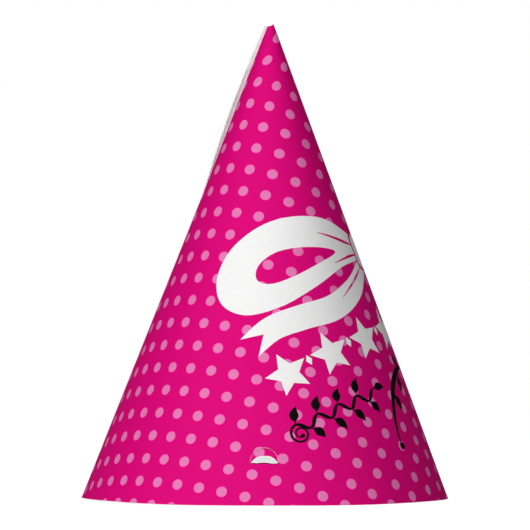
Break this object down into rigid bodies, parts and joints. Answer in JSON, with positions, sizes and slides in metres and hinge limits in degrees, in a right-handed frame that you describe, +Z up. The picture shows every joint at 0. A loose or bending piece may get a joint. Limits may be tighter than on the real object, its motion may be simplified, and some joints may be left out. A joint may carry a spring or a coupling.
{
  "type": "card party hat",
  "caption": "Conical card party hat rolled from one printed blank, with a taped seam and a hinged half-moon tongue on each side for a chin elastic.",
  "frame": {"origin": "centre of the rim, on the surface that the hat stands on", "axes": "+Z up through the tip, -Y towards the printed front, the two tongues at -X (wearer's right) and +X (wearer's left)"},
  "size_m": [0.14, 0.14, 0.1809],
  "materials": {
    "printed_card": "smooth printed card with a soft sheen, pink with pale dots",
    "bare_card": "matt white uncoated card",
    "clear_tape": "thin translucent double-sided tape"
  },
  "bodies": {
    "hat": {"cone_wall": "printed_card", "glue_flap": "bare_card", "seam_tape": "clear_tape"},
    "right_tongue": {"right_cord_tongue": "printed_card"},
    "left_tongue": {"left_cord_tongue": "printed_card"}
  },
  "joints": [
    {"name": "right_tongue_hinge", "type": "hinge", "parent": "hat", "child": "right_tongue", "pos_m": [-0.0636, 0, 0.0158], "axis": [0, 1, 0], "range_deg": [-70, 90], "stiffness_Nm_per_rad": 0.00001},
    {"name": "left_tongue_hinge", "type": "hinge", "parent": "hat", "child": "left_tongue", "pos_m": [0.0636, 0, 0.0158], "axis": [0, -1, 0], "range_deg": [-70, 90], "stiffness_Nm_per_rad": 0.00001}
  ]
}
